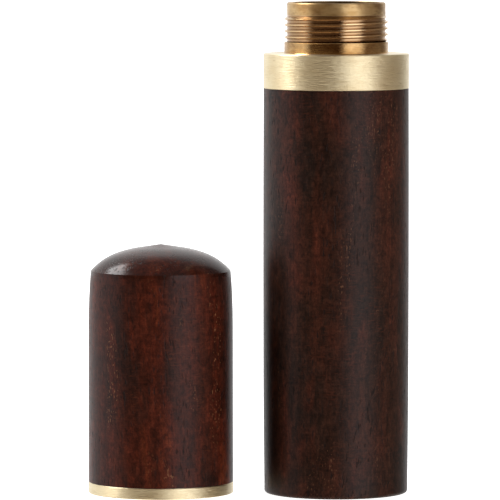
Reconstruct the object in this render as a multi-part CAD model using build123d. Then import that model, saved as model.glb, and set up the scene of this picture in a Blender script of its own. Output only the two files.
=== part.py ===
from build123d import *

import math
import os

# A needle case: a turned rosewood barrel with a brass screw neck, and its screw cap beside it.
#
# The barrel is a blind wooden tube.  A brass neck tube is glued into its mouth, and a plain brass
# band fills the step between the wood and the neck's shoulder.  The cap is a domed wooden shell
# with a threaded brass insert and a narrow brass band.  The cap is unscrewed and stands on its
# open end, to the left of the barrel.
#
# Millimetres, +Z up.  The origin is the centre of the barrel's base, on the surface both stand on.

# ---- driving dimensions -------------------------------------------------------------------------
CASE_DIAMETER = 19.0          # over the brass bands
BARREL_WOOD_HEIGHT = 52.9
BARREL_BAND_HEIGHT = 4.55
NECK_HEIGHT = 6.65            # what stands out of the barrel's band
CAP_HEIGHT = 32.56
CAP_BAND_HEIGHT = 1.45
CAP_OFFSET = 22.9             # between the two axes, while the cap stands beside the barrel
NEEDLE_BORE = 11.4            # drilled for the needles, in barrel, neck and cap

# ---- screw thread -------------------------------------------------------------------------------
THREAD_PITCH = 0.8
FLANK_ANGLE = 30.0
MALE_CREST_DIAMETER = 13.5
MALE_CREST_FLAT = 0.18
MALE_ROOT_DIAMETER = 12.85
MALE_TOP_SLOPE = 1.5          # the cone that starts the thread
FEMALE_MINOR_DIAMETER = 12.95
FEMALE_MAJOR_DIAMETER = 13.7
FEMALE_TOP_SLOPE = 1.0
FLANK_CLEARANCE = 0.05        # along the axis, on each flank
THREAD_SUNK = 0.06            # how far a ridge is rooted in the wall that carries it

# ---- neck ---------------------------------------------------------------------------------------
LEAD_HEIGHT = 1.65            # plain end that finds the cap's mouth, at the thread's root
LEAD_CHAMFER = 0.15
REGISTER_DIAMETER = 13.6      # plain shoulder under the thread
REGISTER_HEIGHT = 1.5
REGISTER_FLARE = 0.1          # small foot where the shoulder meets the band
SKIRT_DIAMETER = 13.0         # glued into the band and the wood
SKIRT_DEPTH = 12.0            # below the shoulder

# ---- cap insert ---------------------------------------------------------------------------------
INSERT_DIAMETER = 15.0
INSERT_TOP = 8.2
INSERT_SETBACK = 0.1          # the band stands this much proud of the insert
INSERT_MOUTH_DIAMETER = 14.05
INSERT_MOUTH_TOP = 1.7        # clears the neck's shoulder
FEMALE_THREAD_TOP = 5.3
INSERT_RELIEF_TOP = 6.2
BAND_CLEARANCE = 0.02         # between the cap's band and what turns inside and above it

# ---- wood ---------------------------------------------------------------------------------------
BARREL_TOP_RADIUS = 9.47
BARREL_BELLY_RADIUS = 9.515
BARREL_BELLY_HEIGHT = 38.0
BARREL_WAIST_RADIUS = 9.505   # where the sides start to draw in to the foot
BARREL_WAIST_HEIGHT = 18.0
BARREL_FOOT_RADIUS = 9.37
FOOT_ROUND = 0.40
BARREL_FLOOR = 7.5            # where the drill's full diameter stopped
CAP_FOOT_RADIUS = 9.46
CAP_WAIST_RADIUS = 9.44       # where the sides start to draw in to the shoulder
CAP_WAIST_HEIGHT = 22.0
CAP_SHOULDER_RADIUS = 9.15    # the crisp edge where the sides meet the rounded top
CAP_SHOULDER_HEIGHT = 29.07
CAP_DOME_RADIUS = 5.84        # where the shoulder's round meets the flatter dome
CAP_DOME_HEIGHT = 31.36
CAP_TIP_RADIUS = 3.08         # the dome's middle is a very flat cone
CAP_TIP_HEIGHT = 32.08
CAP_BORE_TOP = 23.5
DRILL_POINT_ANGLE = 31.0      # rise of a 118 degree drill point
EDGE_BREAK = 0.08             # small chamfers on the brass

NECK_BASE = BARREL_WOOD_HEIGHT + BARREL_BAND_HEIGHT
NECK_TOP = NECK_BASE + NECK_HEIGHT
SKIRT_FOOT = NECK_BASE - SKIRT_DEPTH
THREAD_BASE = NECK_BASE + REGISTER_HEIGHT
THREAD_TOP = NECK_TOP - LEAD_HEIGHT
THREAD_START = 0.9            # of the male helix, above the closed joint
BORE_RADIUS = NEEDLE_BORE / 2
DRILL_POINT = BORE_RADIUS * math.tan(math.radians(DRILL_POINT_ANGLE))
CAP_PLACE = Location((-CAP_OFFSET, 0, 0))


def turned(outline):
    """The closed half section `outline`, drawn as (radius, height), turned about +Z."""
    return revolve(Plane.XZ * make_face(outline), Axis.Z, 360)


def band(bore_diameter, base, top):
    """A plain brass band of the case's diameter, with broken edges."""
    inner = bore_diameter / 2
    outer = CASE_DIAMETER / 2
    return turned(
        Polyline(
            (inner, base),
            (outer - EDGE_BREAK, base),
            (outer, base + EDGE_BREAK),
            (outer, top - EDGE_BREAK),
            (outer - EDGE_BREAK, top),
            (inner, top),
            close=True,
        )
    )


def helical_ridge(foot_radius, tip_radius, half_foot, half_tip, start, length):
    """A ridge on a right-hand helix; the middle of its section starts at height `start`."""
    corners = [
        (foot_radius, -half_foot),
        (tip_radius, -half_tip),
        (tip_radius, half_tip),
        (foot_radius, half_foot),
    ]
    helices = []
    for radius, rise in corners:
        helix = Helix(THREAD_PITCH, length, radius)
        helices.append((Pos(0, 0, start + rise) * helix).edge())
    sides = []
    for near, far in zip(helices, helices[1:] + helices[:1]):
        sides.append(Face.make_surface_from_curves(near, far))
    for end in (0, 1):
        tips = [helix @ end for helix in helices]
        sides.append(make_face(Polyline(*tips, close=True)).face())
    return Solid(Shell(sides))


def thread(root_radius, crest_radius, crest_flat, start, base, top, top_slope):
    """A thread on a round wall at root_radius, from `base` to `top`.

    It runs out at 45 degrees at the base, and at the top rises top_slope for each unit of depth.
    """
    depth = abs(crest_radius - root_radius)
    outward = math.copysign(1, crest_radius - root_radius)
    run_out = depth + THREAD_SUNK
    ridge = helical_ridge(
        root_radius - outward * THREAD_SUNK,
        crest_radius,
        crest_flat / 2 + run_out * math.tan(math.radians(FLANK_ANGLE)),
        crest_flat / 2,
        start,
        top + THREAD_PITCH / 2 - start,
    )
    limits = turned(
        Polyline(
            (root_radius - outward * 2 * THREAD_SUNK, base),
            (root_radius, base),
            (root_radius + outward * run_out, base + run_out),
            (root_radius + outward * run_out, top - top_slope * run_out),
            (root_radius, top),
            (root_radius - outward * 2 * THREAD_SUNK, top),
            close=True,
        )
    )
    return ridge & limits


def barrel():
    """The wooden tube: slim at the foot, fullest above the middle, stepped inside for the neck."""
    top = BARREL_WOOD_HEIGHT
    skirt = SKIRT_DIAMETER / 2
    belly = ThreePointArc(
        (BARREL_TOP_RADIUS, top),
        (BARREL_BELLY_RADIUS, BARREL_BELLY_HEIGHT),
        (BARREL_WAIST_RADIUS, BARREL_WAIST_HEIGHT),
    )
    draw_in = TangentArc(belly @ 1, (BARREL_FOOT_RADIUS, FOOT_ROUND), tangent=belly % 1)
    foot = RadiusArc((BARREL_FOOT_RADIUS - FOOT_ROUND, 0), draw_in @ 1, -FOOT_ROUND)
    inside = Polyline(
        (BARREL_TOP_RADIUS, top),
        (skirt, top),
        (skirt, SKIRT_FOOT),
        (BORE_RADIUS, SKIRT_FOOT),
        (BORE_RADIUS, BARREL_FLOOR),
        (0, BARREL_FLOOR - DRILL_POINT),
        (0, 0),
        (BARREL_FOOT_RADIUS - FOOT_ROUND, 0),
    )
    return turned(belly + draw_in + foot + inside)


def barrel_collar():
    """The brass band between the wood and the neck's shoulder."""
    return band(SKIRT_DIAMETER, BARREL_WOOD_HEIGHT, NECK_BASE)


def threaded_neck():
    """The brass tube: skirt, shoulder, male thread and plain lead."""
    skirt = SKIRT_DIAMETER / 2
    register = REGISTER_DIAMETER / 2
    root = MALE_ROOT_DIAMETER / 2
    tube = turned(
        Polyline(
            (BORE_RADIUS, SKIRT_FOOT),
            (skirt - EDGE_BREAK, SKIRT_FOOT),
            (skirt, SKIRT_FOOT + EDGE_BREAK),
            (skirt, NECK_BASE),
            (register + REGISTER_FLARE, NECK_BASE),
            (register, NECK_BASE + REGISTER_FLARE),
            (register, THREAD_BASE - EDGE_BREAK),
            (register - EDGE_BREAK, THREAD_BASE),
            (root, THREAD_BASE),
            (root, NECK_TOP - LEAD_CHAMFER),
            (root - LEAD_CHAMFER, NECK_TOP),
            (BORE_RADIUS + EDGE_BREAK, NECK_TOP),
            (BORE_RADIUS, NECK_TOP - EDGE_BREAK),
            close=True,
        )
    )
    male_thread = thread(
        root,
        MALE_CREST_DIAMETER / 2,
        MALE_CREST_FLAT,
        NECK_BASE + THREAD_START,
        THREAD_BASE,
        THREAD_TOP,
        MALE_TOP_SLOPE,
    )
    return tube + male_thread


def cap_ring():
    """The narrow brass band that the cap stands on."""
    return CAP_PLACE * band(INSERT_DIAMETER + 2 * BAND_CLEARANCE, 0, CAP_BAND_HEIGHT)


def cap_insert():
    """The brass bush inside the cap, with the female thread."""
    outer = INSERT_DIAMETER / 2
    mouth = INSERT_MOUTH_DIAMETER / 2
    major = FEMALE_MAJOR_DIAMETER / 2
    minor = FEMALE_MINOR_DIAMETER / 2
    bush = turned(
        Polyline(
            (mouth, INSERT_SETBACK),
            (outer - EDGE_BREAK, INSERT_SETBACK),
            (outer, INSERT_SETBACK + EDGE_BREAK),
            (outer, INSERT_TOP),
            (minor, INSERT_TOP),
            (minor, INSERT_RELIEF_TOP),
            (major, INSERT_RELIEF_TOP),
            (major, INSERT_MOUTH_TOP),
            (mouth, INSERT_MOUTH_TOP),
            close=True,
        )
    )
    spread = 2 * (MALE_CREST_DIAMETER / 2 - minor) * math.tan(math.radians(FLANK_ANGLE))
    female_thread = thread(
        major,
        minor,
        THREAD_PITCH - MALE_CREST_FLAT - spread - 2 * FLANK_CLEARANCE,
        THREAD_START - THREAD_PITCH / 2,
        INSERT_MOUTH_TOP,
        FEMALE_THREAD_TOP,
        FEMALE_TOP_SLOPE,
    )
    return CAP_PLACE * (bush + female_thread)


def cap_shell():
    """The wooden cap: sides drawn in a little below a crisp shoulder, and a low dome with a blunt tip."""
    base = CAP_BAND_HEIGHT + BAND_CLEARANCE
    outer = INSERT_DIAMETER / 2
    side = Line((CAP_FOOT_RADIUS, base), (CAP_WAIST_RADIUS, CAP_WAIST_HEIGHT))
    draw_in = TangentArc(side @ 1, (CAP_SHOULDER_RADIUS, CAP_SHOULDER_HEIGHT), tangent=side % 1)
    tip = Line((0, CAP_HEIGHT), (CAP_TIP_RADIUS, CAP_TIP_HEIGHT))
    dome = TangentArc(tip @ 1, (CAP_DOME_RADIUS, CAP_DOME_HEIGHT), tangent=tip % 1)
    shoulder = TangentArc(dome @ 1, draw_in @ 1, tangent=dome % 1)
    inside = Polyline(
        (0, CAP_HEIGHT),
        (0, CAP_BORE_TOP + DRILL_POINT),
        (BORE_RADIUS, CAP_BORE_TOP),
        (BORE_RADIUS, INSERT_TOP),
        (outer, INSERT_TOP),
        (outer, base),
        (CAP_FOOT_RADIUS, base),
    )
    return CAP_PLACE * turned(side + draw_in + shoulder + dome + tip + inside)


def main():
    os.makedirs("parts", exist_ok=True)
    for build_piece in (barrel, barrel_collar, threaded_neck, cap_ring, cap_insert, cap_shell):
        piece = build_piece()
        piece.label = build_piece.__name__
        export_step(piece, "parts/" + build_piece.__name__ + ".step")


main()
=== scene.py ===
import math

import bpy
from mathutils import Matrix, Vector


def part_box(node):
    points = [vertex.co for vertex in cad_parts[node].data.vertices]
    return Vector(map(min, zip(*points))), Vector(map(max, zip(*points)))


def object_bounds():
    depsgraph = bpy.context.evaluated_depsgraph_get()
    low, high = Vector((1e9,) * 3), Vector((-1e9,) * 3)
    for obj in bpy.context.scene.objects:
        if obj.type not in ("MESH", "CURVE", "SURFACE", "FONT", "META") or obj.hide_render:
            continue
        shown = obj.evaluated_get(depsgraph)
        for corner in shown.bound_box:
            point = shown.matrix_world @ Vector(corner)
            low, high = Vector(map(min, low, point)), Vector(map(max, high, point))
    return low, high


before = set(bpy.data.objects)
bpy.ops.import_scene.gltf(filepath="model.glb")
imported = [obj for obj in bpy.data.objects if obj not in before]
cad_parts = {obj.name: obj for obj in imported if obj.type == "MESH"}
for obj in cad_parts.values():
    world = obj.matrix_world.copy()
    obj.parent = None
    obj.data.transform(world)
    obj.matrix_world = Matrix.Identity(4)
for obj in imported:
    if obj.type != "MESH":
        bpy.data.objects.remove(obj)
cad_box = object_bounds()

# A turned rosewood needle case: the barrel with its brass screw neck, and the screw cap beside it.
# The CAD nodes carry the shapes.  This script gives them their wood and brass, and lights them.
# Metres throughout, except inside the materials, which work in millimetres from a piece's axis.

MM = 0.001

# ---- camera -------------------------------------------------------------------------------------
CAMERA_DISTANCE = 0.723       # in front of the axes
CAMERA_HEIGHT = 0.0826        # above the floor
CAMERA_LENS = 399.5           # millimetres, on a sensor 36 mm wide
SENSOR_WIDTH = 36.0
AIM_OFFSET = Vector((0.0002, 0.0, -0.0003))      # from the middle of the case

# ---- light --------------------------------------------------------------------------------------
WINDOW_BEARING = -114.0       # degrees, behind the case on its left
WINDOW_ELEVATION = 48.0       # degrees
WINDOW_DISTANCE = 1.2
WINDOW_SIZE = (0.75, 0.34)
WINDOW_POWER = 8.0            # watts
ROOM_LEVEL = 2.0              # radiance that the shares below are of
ROOM_TOP = (0.14, 0.14, 0.15)       # the ceiling
ROOM_GROUND = (0.53, 0.50, 0.45)    # the pale table
TOP_EDGE = (0.65, 0.95)       # sines of the elevations between which the walls turn into the ceiling
GROUND_EDGE = (-0.28, -0.52)  # and into the table
ROOM_WALLS = (                # bearing in degrees from the camera's side, positive to the right, and colour
    (-180.0, (0.60, 0.60, 0.60)),
    (-125.0, (0.46, 0.46, 0.46)),
    (-100.0, (0.50, 0.50, 0.52)),
    (-80.0, (0.62, 0.61, 0.62)),
    (-60.0, (0.06, 0.040, 0.025)),
    (13.0, (0.033, 0.018, 0.010)),
    (21.5, (0.94, 0.95, 1.00)),
    (50.0, (0.92, 0.93, 0.98)),
    (66.0, (0.12, 0.09, 0.07)),
    (130.0, (0.12, 0.11, 0.10)),
    (152.0, (0.48, 0.48, 0.48)),
    (180.0, (0.60, 0.60, 0.60)),
)


def box_centre(node):
    low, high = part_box(node)
    return (low + high) / 2


def box_top(node):
    """The node's highest point, in millimetres."""
    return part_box(node)[1].z / MM


BARREL_AXIS = box_centre("barrel_collar").x
CAP_AXIS = box_centre("cap_ring").x
REGISTER_HEIGHT = 1.5         # millimetres, the polished shoulder under the thread
THREAD_BASE = box_top("barrel_collar") + REGISTER_HEIGHT


# ---- node graphs --------------------------------------------------------------------------------
class Graph:
    """One node tree, built a node at a time.  A value given for an input may be another node's output."""

    def __init__(self, tree):
        self.tree = tree
        tree.nodes.clear()

    def put(self, kind, inputs=None, **settings):
        node = self.tree.nodes.new("ShaderNode" + kind)
        for name, value in settings.items():
            setattr(node, name, value)
        for name, value in (inputs or {}).items():
            socket = node.inputs[name]
            if isinstance(value, bpy.types.NodeSocket):
                self.tree.links.new(value, socket)
            else:
                socket.default_value = value
        return node

    def math(self, operation, first, second=0.0, third=0.0):
        inputs = {0: first, 1: second, 2: third}
        return self.put("Math", inputs, operation=operation).outputs[0]

    def span(self, value, low, high, to_low=0.0, to_high=1.0, smooth=True):
        """value's run from low to high, carried to to_low...to_high and clamped there."""
        inputs = {"Value": value, "From Min": low, "From Max": high, "To Min": to_low, "To Max": to_high}
        kind = "SMOOTHSTEP" if smooth else "LINEAR"
        return self.put("MapRange", inputs, interpolation_type=kind, clamp=True).outputs[0]

    def mix(self, amount, first, second, blend="MIX"):
        node = self.put("Mix", {0: amount, 6: first, 7: second}, data_type="RGBA", blend_type=blend)
        return node.outputs[2]

    def ramp(self, value, stops):
        node = self.put("ValToRGB", {"Fac": value})
        points = node.color_ramp.elements
        while len(points) < len(stops):
            points.new(0.5)
        for point, (place, colour) in zip(points, stops):
            point.position = place
            point.color = (*colour, 1.0)
        return node.outputs[0]

    def stretch(self, vector, across, along, shift=(0.0, 0.0, 0.0)):
        """Coordinates for a pattern with `across` features a millimetre in X and Y and `along` in Z."""
        inputs = {"Vector": vector, "Location": shift, "Scale": (across, across, along)}
        return self.put("Mapping", inputs, vector_type="POINT").outputs[0]

    def noise(self, vector, detail=2.0, roughness=0.5, distortion=0.0):
        inputs = {
            "Vector": vector,
            "Scale": 1.0,
            "Detail": detail,
            "Roughness": roughness,
            "Distortion": distortion,
        }
        return self.put("TexNoise", inputs, noise_dimensions="3D").outputs[0]

    def bump(self, height, distance_mm, strength=1.0, normal=None):
        inputs = {"Height": height, "Distance": distance_mm * MM, "Strength": strength}
        if normal is not None:
            inputs["Normal"] = normal
        return self.put("Bump", inputs).outputs[0]


def overlay(g, colour, mask, share, tint):
    """colour, covered with tint where the mask is 1, up to that share."""
    return g.mix(g.math("MULTIPLY", mask, share), colour, tint)


def new_material(name):
    made = bpy.data.materials.new(name)
    made.use_nodes = True
    return made, Graph(made.node_tree)


def axis_millimetres(g, axis_x):
    """Object coordinates in millimetres, measured from the vertical axis at axis_x."""
    place = g.put("TexCoord").outputs["Object"]
    inputs = {"Vector": place, "Location": (-axis_x / MM, 0.0, 0.0), "Scale": (1 / MM,) * 3}
    return g.put("Mapping", inputs, vector_type="POINT").outputs[0]


def radius_of(g, place):
    flat = g.put("VectorMath", {0: place, 1: (1.0, 1.0, 0.0)}, operation="MULTIPLY").outputs[0]
    return g.put("VectorMath", {0: flat}, operation="LENGTH").outputs["Value"]


def height_of(g, place):
    return g.put("SeparateXYZ", {0: place}).outputs["Z"]


# ---- wood ---------------------------------------------------------------------------------------
def tone(g, factor):
    """A grey of that brightness, to multiply a colour with."""
    return g.put("CombineXYZ", {0: factor, 1: factor, 2: factor}).outputs[0]


NOISE_RANGE = (0.3, 0.7)      # where a noise's values mostly lie


def shade(g, colour, pattern, darkest, lightest):
    """colour, multiplied by a grey that follows the pattern."""
    grey = tone(g, g.span(pattern, *NOISE_RANGE, darkest, lightest, smooth=False))
    return g.mix(1.0, colour, grey, "MULTIPLY")


def growth_layers(g, lean, look):
    """Flat layers of growth across X, which wander and wobble, so the turning cuts them into long flames."""
    wander = g.noise(g.stretch(lean, 0.09, 0.022, look["shift"]), detail=2.0)
    wobble = g.noise(g.stretch(lean, 0.45, 0.06, look["shift"]), detail=3.0, roughness=0.6)
    across = g.put("SeparateXYZ", {0: lean}).outputs["X"]
    layer = g.math("MULTIPLY_ADD", wander, look["wander"], across)
    layer = g.math("MULTIPLY_ADD", wobble, look["wobble"], layer)
    inputs = {"W": layer, "Scale": look["layers"], "Detail": 3.0, "Roughness": 0.55}
    return g.put("TexNoise", inputs, noise_dimensions="1D").outputs[0]


def rosewood(name, axis_x, look):
    """Oiled rosewood off the lathe: flames, dark veins, fibres, ripple marks, pores and a few pale flecks."""
    made, g = new_material(name)
    place = axis_millimetres(g, axis_x)
    lean = g.put("Mapping", {"Vector": place, "Rotation": look["lean"]}, vector_type="POINT").outputs[0]

    flames = g.noise(g.stretch(lean, 0.24, 0.070, look["shift"]), detail=4.0, roughness=0.6, distortion=0.6)
    figure = g.math("MULTIPLY_ADD", growth_layers(g, lean, look), 0.35, g.math("MULTIPLY", flames, 0.65))
    colour = g.ramp(g.span(figure, 0.34, 0.66, smooth=False), look["stops"])

    vein_place = g.stretch(lean, 0.28, 0.070, look["vein_shift"])
    veins = g.noise(vein_place, detail=4.0, roughness=0.6, distortion=0.5)
    colour = g.mix(g.span(veins, 0.48, 0.66, 0.0, look["vein_depth"]), colour, look["vein"])

    fibres = g.noise(g.stretch(lean, 2.4, 0.30), detail=4.0, roughness=0.7, distortion=0.4)
    colour = shade(g, colour, fibres, 0.72, 1.28)
    mottle = g.noise(g.stretch(lean, 1.0, 0.8, (5.0, 3.0, 6.0)), detail=5.0, roughness=0.68, distortion=0.8)
    colour = shade(g, colour, mottle, 0.45, 1.55)

    speckle = g.noise(g.stretch(lean, 3.2, 2.2, (8.0, 1.0, 3.0)), detail=2.0, roughness=0.7)
    colour = shade(g, colour, speckle, 0.70, 1.30)

    ripple_zones = g.noise(g.stretch(lean, 0.16, 0.07, (9.0, 6.0, 2.0)), detail=2.0)
    ripples = g.noise(g.stretch(place, 1.1, 4.5, (2.0, 5.0, 8.0)), detail=2.0, roughness=0.6)
    ripple = g.math("MULTIPLY", g.span(ripples, 0.52, 0.70), g.span(ripple_zones, 0.45, 0.62))
    colour = overlay(g, colour, ripple, 0.45, look["ripple"])

    pore_zones = g.noise(g.stretch(lean, 0.30, 0.06, (2.0, 12.0, 7.0)), detail=2.0)
    pores = g.noise(g.stretch(lean, 3.4, 0.75, (3.0, 7.0, 1.0)), detail=1.0)
    pore = g.math("MULTIPLY", g.span(pores, 0.60, 0.70), g.span(pore_zones, 0.38, 0.60, 0.15, 1.0))
    colour = overlay(g, colour, pore, 0.7, look["pore"])

    fleck_zones = g.noise(g.stretch(lean, 0.30, 0.05, look["fleck_shift"]), detail=2.0)
    specks = g.noise(g.stretch(lean, 5.5, 2.6, (1.0, 4.0, 9.0)), detail=0.0)
    fleck = g.math("MULTIPLY", g.span(specks, 0.68, 0.76), g.span(fleck_zones, 0.56, 0.66))
    colour = overlay(g, colour, fleck, 0.8, look["fleck"])

    lathe = g.noise(g.stretch(place, 0.45, 4.5), detail=3.0, roughness=0.65)
    colour = shade(g, colour, lathe, 0.86, 1.14)
    roughness = g.math("MULTIPLY_ADD", lathe, 0.16, look["roughness"] - 0.08)
    roughness = g.math("MULTIPLY_ADD", pore, 0.2, roughness)
    burnished = g.span(height_of(g, place), look["burnished_above"] - 1.0, look["burnished_above"] + 0.5)
    roughness = g.math("MULTIPLY_ADD", burnished, -0.19, roughness)
    colour = overlay(g, colour, burnished, 0.45, look["end_grain"])

    relief = g.math("MULTIPLY_ADD", lathe, 0.7, g.math("MULTIPLY", fibres, 0.3))
    relief = g.math("MULTIPLY_ADD", mottle, 0.5, relief)
    relief = g.math("MULTIPLY_ADD", pore, -1.0, relief)

    inputs = {
        "Base Color": colour,
        "Roughness": roughness,
        "Specular IOR Level": look["gloss"],
        "Normal": g.bump(relief, look["relief_mm"]),
    }
    g.put("OutputMaterial", {"Surface": g.put("BsdfPrincipled", inputs).outputs[0]})
    return made


BARREL_LOOK = {
    "lean": (math.radians(1.0), math.radians(-1.2), math.radians(20.0)),
    "shift": (39.4, 6.0, 29.0),
    "vein_shift": (25.7, 1.8, 33.4),
    "fleck_shift": (39.3, 34.9, 11.6),
    "wander": 7.0,
    "wobble": 2.2,
    "layers": 0.42,
    "stops": (
        (0.0, (0.024, 0.0095, 0.0055)),
        (0.4, (0.036, 0.0125, 0.0070)),
        (0.7, (0.054, 0.0155, 0.0085)),
        (1.0, (0.084, 0.0190, 0.0100)),
    ),
    "vein": (0.020, 0.0110, 0.0080, 1.0),
    "vein_depth": 0.75,
    "ripple": (0.085, 0.022, 0.011, 1.0),
    "pore": (0.006, 0.003, 0.0025, 1.0),
    "fleck": (0.14, 0.060, 0.032, 1.0),
    "end_grain": (0.020, 0.0085, 0.0060, 1.0),
    "roughness": 0.38,
    "gloss": 0.18,
    "relief_mm": 0.012,
    "burnished_above": 90.0,
}

CAP_LOOK = {
    "lean": (math.radians(2.0), math.radians(4.5), math.radians(-15.0)),
    "shift": (30.0, 16.5, 16.6),
    "vein_shift": (21.0, 15.1, 13.5),
    "fleck_shift": (2.6, 12.1, 24.1),
    "wander": 6.0,
    "wobble": 2.0,
    "layers": 0.45,
    "stops": (
        (0.0, (0.034, 0.0090, 0.0050)),
        (0.4, (0.054, 0.0120, 0.0060)),
        (0.7, (0.080, 0.0145, 0.0065)),
        (1.0, (0.130, 0.0260, 0.0090)),
    ),
    "vein": (0.026, 0.0110, 0.0080, 1.0),
    "vein_depth": 0.65,
    "ripple": (0.12, 0.030, 0.013, 1.0),
    "pore": (0.008, 0.004, 0.003, 1.0),
    "fleck": (0.26, 0.11, 0.050, 1.0),
    "end_grain": (0.020, 0.0085, 0.0060, 1.0),
    "roughness": 0.36,
    "gloss": 0.18,
    "relief_mm": 0.012,
    "burnished_above": 28.9,
}


# ---- brass --------------------------------------------------------------------------------------
def turned_brass(g, place, look):
    """Colour, roughness and height of brass finished on the lathe, with fine lines round the axis."""
    hairlines = g.noise(g.stretch(place, 0.35, 11.0), detail=3.0, roughness=0.65)
    chatter = g.noise(g.stretch(place, 0.30, 3.2, (5.0, 1.0, 0.0)), detail=3.0, roughness=0.6)
    clouds = g.noise(g.stretch(place, 0.22, 0.4, (9.4, 0.8, 10.7)), detail=3.0, roughness=0.6)
    scratches = g.noise(g.stretch(place, 0.9, 9.0, (4.0, 2.0, 7.0)), detail=1.0)

    colour = g.mix(g.span(clouds, 0.35, 0.7), look["bright"], look["dull"])
    lines = g.math("MULTIPLY", g.span(hairlines, 0.5, 0.75), look["line_depth"])
    lines = g.math("MULTIPLY_ADD", g.span(scratches, 0.68, 0.76), look["line_depth"], lines)
    colour = g.mix(lines, colour, look["line"])
    roughness = g.math("MULTIPLY_ADD", hairlines, 0.14, look["roughness"] - 0.07)
    roughness = g.math("MULTIPLY_ADD", clouds, 0.08, roughness)
    relief = g.math("MULTIPLY_ADD", chatter, look["chatter"], hairlines)
    streaks = g.noise(g.stretch(place, 0.9, 10.0, (9.0, 3.0, 2.0)), detail=3.0, roughness=0.6)
    relief = g.math("MULTIPLY_ADD", streaks, look["streaks"], relief)
    return colour, roughness, relief


def finish_brass(g, colour, roughness, relief, look):
    """The lathe's lines run round the axis, so they spread the highlights up and down."""
    inputs = {
        "Base Color": colour,
        "Metallic": 1.0,
        "Roughness": roughness,
        "Anisotropic": look["brushing"],
        "Anisotropic Rotation": 0.25,
        "Tangent": g.put("Tangent", direction_type="RADIAL", axis="Z").outputs[0],
        "Normal": g.bump(relief, look["relief_mm"]),
    }
    g.put("OutputMaterial", {"Surface": g.put("BsdfPrincipled", inputs).outputs[0]})


BAND_LOOK = {
    "bright": (0.92, 0.79, 0.52, 1.0),
    "dull": (0.86, 0.71, 0.44, 1.0),
    "line": (0.58, 0.43, 0.22, 1.0),
    "line_depth": 0.5,
    "roughness": 0.34,
    "chatter": 2.5,
    "streaks": 6.0,
    "relief_mm": 0.010,
    "brushing": 0.9,
}

NECK_LOOK = {
    "bright": (0.70, 0.50, 0.25, 1.0),
    "dull": (0.50, 0.31, 0.125, 1.0),
    "line": (0.34, 0.17, 0.055, 1.0),
    "line_depth": 0.5,
    "roughness": 0.40,
    "chatter": 2.0,
    "streaks": 3.0,
    "relief_mm": 0.006,
    "brushing": 0.8,
    # tarnish for the roots, and painted shade for the crests
    "tarnish_and_crest_shade": (0.18, 0.060, 0.014, 1.0),
    "root_tarnish": 0.60,
    "crest_painted_shade": 0.25,
    "polished": (0.93, 0.67, 0.38, 1.0),
    "thread_polish": 0.85,
    "crest_wear": 60.0,
    "stain": (0.24, 0.11, 0.04, 1.0),
    "aged": (0.90, 0.83, 0.76, 1.0),
    # painted shade for the inside of the bore
    "bore": (0.16, 0.09, 0.035, 1.0),
}

NECK_BORE_RADIUS = 5.75       # millimetres, just outside the bore's wall
MALE_THREAD = (6.43, 6.74)    # its radii just off the root and just off the crest
FEMALE_THREAD = (6.84, 6.49)
TARNISHED_DEPTH = 0.3         # share of the thread's depth, from the root
CREST_SHARE = 0.9             # share of the depth past which the crest begins
THREAD_RUN = 3.5              # the thread's height, above the shoulder
SOFT_EDGE = 0.1               # millimetres each side of a change of finish


def band_brass(name, axis_x):
    made, g = new_material(name)
    finish_brass(g, *turned_brass(g, axis_millimetres(g, axis_x), BAND_LOOK), BAND_LOOK)
    return made


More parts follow.
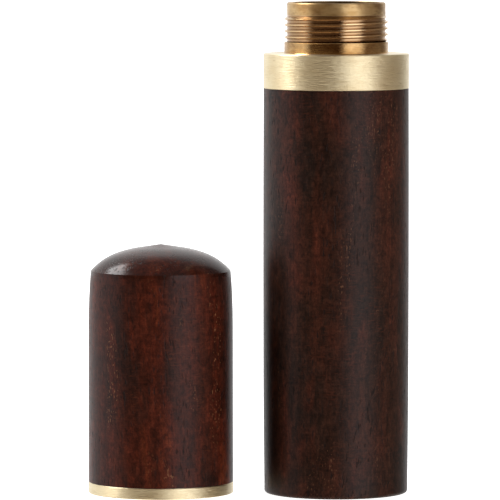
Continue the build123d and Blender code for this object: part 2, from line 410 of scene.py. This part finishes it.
def neck_brass(name, axis_x, thread_base, thread_radii):
    """Darker, older brass: stained, tarnished at the thread's roots and polished below the lead, with painted
    shade along the thread's crests and inside the bore.
    """
    made, g = new_material(name)
    place = axis_millimetres(g, axis_x)
    colour, roughness, relief = turned_brass(g, place, NECK_LOOK)

    radius = radius_of(g, place)
    height = height_of(g, place)
    thread_top = thread_base + THREAD_RUN
    below_lead = g.span(height, thread_top - SOFT_EDGE, thread_top + SOFT_EDGE, 1.0, 0.0)
    above_shoulder = g.span(height, thread_base - SOFT_EDGE, thread_base + SOFT_EDGE)
    threaded = g.math("MULTIPLY", above_shoulder, below_lead)

    colour = g.mix(below_lead, colour, NECK_LOOK["aged"], "MULTIPLY")
    roughness = g.math("MULTIPLY_ADD", below_lead, -0.20, roughness)

    blotches = g.noise(g.stretch(place, 0.5, 0.9, (7.7, 33.2, 3.6)), detail=4.0, roughness=0.65)
    stain = g.math("MULTIPLY", g.span(blotches, 0.42, 0.72, 0.0, 0.6), g.span(threaded, 0.0, 1.0, 1.0, 0.4))
    colour = g.mix(stain, colour, NECK_LOOK["stain"])
    roughness = g.math("MULTIPLY_ADD", stain, 0.06, roughness)
    shoulder = g.span(height, thread_base - SOFT_EDGE, thread_base + SOFT_EDGE, 1.0, 0.0)
    roughness = g.math("MULTIPLY_ADD", shoulder, -0.07, roughness)

    colour = overlay(g, colour, threaded, NECK_LOOK["thread_polish"], NECK_LOOK["polished"])
    roughness = g.math("MULTIPLY_ADD", threaded, -0.08, roughness)
    root_radius, crest_radius = thread_radii
    depth = g.span(radius, root_radius, crest_radius, smooth=False)
    root = g.math("MULTIPLY", g.span(depth, 0.0, TARNISHED_DEPTH, 1.0, 0.0), threaded)
    colour = overlay(g, colour, root, NECK_LOOK["root_tarnish"], NECK_LOOK["tarnish_and_crest_shade"])
    # The crests get the same dark colour: painted shade, a dark line along each crest between the bright
    # flanks.
    crest = g.math("MULTIPLY", g.span(depth, CREST_SHARE, 1.0), threaded)
    colour = overlay(g, colour, crest, NECK_LOOK["crest_painted_shade"], NECK_LOOK["tarnish_and_crest_shade"])
    worn = g.math("MULTIPLY", depth, threaded)
    relief = g.math("MULTIPLY_ADD", worn, NECK_LOOK["crest_wear"], relief)

    # Painted shade: the inner wall of the bore is darkened, standing in for the shadow inside the tube.
    inside = g.span(radius, NECK_BORE_RADIUS - 0.03, NECK_BORE_RADIUS, 1.0, 0.0)
    colour = overlay(g, colour, inside, 0.8, NECK_LOOK["bore"])
    roughness = g.math("MULTIPLY_ADD", inside, 0.2, roughness)
    finish_brass(g, colour, roughness, relief, NECK_LOOK)
    return made


# ---- room ---------------------------------------------------------------------------------------
FLOOR_RADIUS = 8.0
FLOOR_SIDES = 96


def make_floor():
    """A pale disc that only the camera sees, so it adds nothing to what the case reflects."""
    bpy.ops.mesh.primitive_circle_add(vertices=FLOOR_SIDES, radius=FLOOR_RADIUS, fill_type="NGON")
    floor = bpy.context.object
    floor.name = "floor"
    made, g = new_material("floor_paper")
    shader = g.put(
        "BsdfPrincipled",
        {
            "Base Color": (0.9, 0.9, 0.9, 1.0),
            "Roughness": 0.9,
            "Specular IOR Level": 0.0,
            "Emission Color": (1.0, 1.0, 1.0, 1.0),
            "Emission Strength": 1.0,
        },
    )
    g.put("OutputMaterial", {"Surface": shader.outputs[0]})
    floor.data.materials.append(made)
    floor.visible_glossy = False
    floor.visible_diffuse = False


def make_world():
    """Pale to the camera.  To the case it is dim in front and at the right, with a bright band between them,
    and bright behind and to the left."""
    world = bpy.data.worlds.new("studio")
    bpy.context.scene.world = world
    world.use_nodes = True
    g = Graph(world.node_tree)
    way = g.put("SeparateXYZ", {0: g.put("TexCoord").outputs["Generated"]})
    bearing = g.math("ARCTAN2", way.outputs["X"], g.math("MULTIPLY", way.outputs["Y"], -1.0))
    turn = g.math("MULTIPLY_ADD", bearing, 0.5 / math.pi, 0.5)
    walls = g.ramp(turn, [(place / 360.0 + 0.5, colour) for place, colour in ROOM_WALLS])
    room = g.mix(g.span(way.outputs["Z"], *TOP_EDGE), walls, (*ROOM_TOP, 1.0))
    room = g.mix(g.span(way.outputs["Z"], *GROUND_EDGE), room, (*ROOM_GROUND, 1.0))
    seen = g.put("LightPath").outputs["Is Camera Ray"]
    room = g.mix(seen, room, (1.0, 1.0, 1.0, 1.0))
    light = g.put("Background", {"Color": room, "Strength": ROOM_LEVEL})
    g.put("OutputWorld", {"Surface": light.outputs[0]})


def softbox(name, bearing, elevation, distance, size, power):
    """A soft light aimed at the case, `bearing` degrees to the right of the camera as the case sees it."""
    across = math.cos(math.radians(elevation))
    way = Vector((
        across * math.sin(math.radians(bearing)),
        -across * math.cos(math.radians(bearing)),
        math.sin(math.radians(elevation)),
    ))
    data = bpy.data.lights.new(name, "AREA")
    data.shape = "RECTANGLE"
    data.size, data.size_y = size
    data.energy = power
    lamp = bpy.data.objects.new(name, data)
    bpy.context.scene.collection.objects.link(lamp)
    lamp.location = (cad_box[0] + cad_box[1]) / 2 + way * distance
    lamp.rotation_euler = way.to_track_quat("Z", "Y").to_euler()
    lamp.visible_camera = False


def make_camera():
    low, high = cad_box
    data = bpy.data.cameras.new("camera")
    data.lens = CAMERA_LENS
    data.sensor_width = SENSOR_WIDTH
    data.clip_start = 0.01
    data.clip_end = 50.0
    camera = bpy.data.objects.new("camera", data)
    bpy.context.scene.collection.objects.link(camera)
    target = (low + high) / 2 + AIM_OFFSET
    camera.location = (target.x, -CAMERA_DISTANCE, CAMERA_HEIGHT)
    camera.rotation_euler = (target - camera.location).to_track_quat("-Z", "Y").to_euler()
    bpy.context.scene.camera = camera


# ---- the whole scene ----------------------------------------------------------------------------
def dress(node, material):
    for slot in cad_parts[node].material_slots:
        slot.material = material


make_camera()
make_floor()
make_world()
softbox("window_left", WINDOW_BEARING, WINDOW_ELEVATION, WINDOW_DISTANCE, WINDOW_SIZE, WINDOW_POWER)

dress("barrel", rosewood("rosewood_barrel", BARREL_AXIS, BARREL_LOOK))
dress("cap_shell", rosewood("rosewood_cap", CAP_AXIS, CAP_LOOK))
dress("barrel_collar", band_brass("brass_collar", BARREL_AXIS))
dress("cap_ring", band_brass("brass_ring", CAP_AXIS))
dress("threaded_neck", neck_brass("brass_neck", BARREL_AXIS, THREAD_BASE, MALE_THREAD))
dress("cap_insert", neck_brass("brass_insert", CAP_AXIS, REGISTER_HEIGHT, FEMALE_THREAD))

view = bpy.context.scene.view_settings
view.view_transform = "Standard"
view.look = "None"
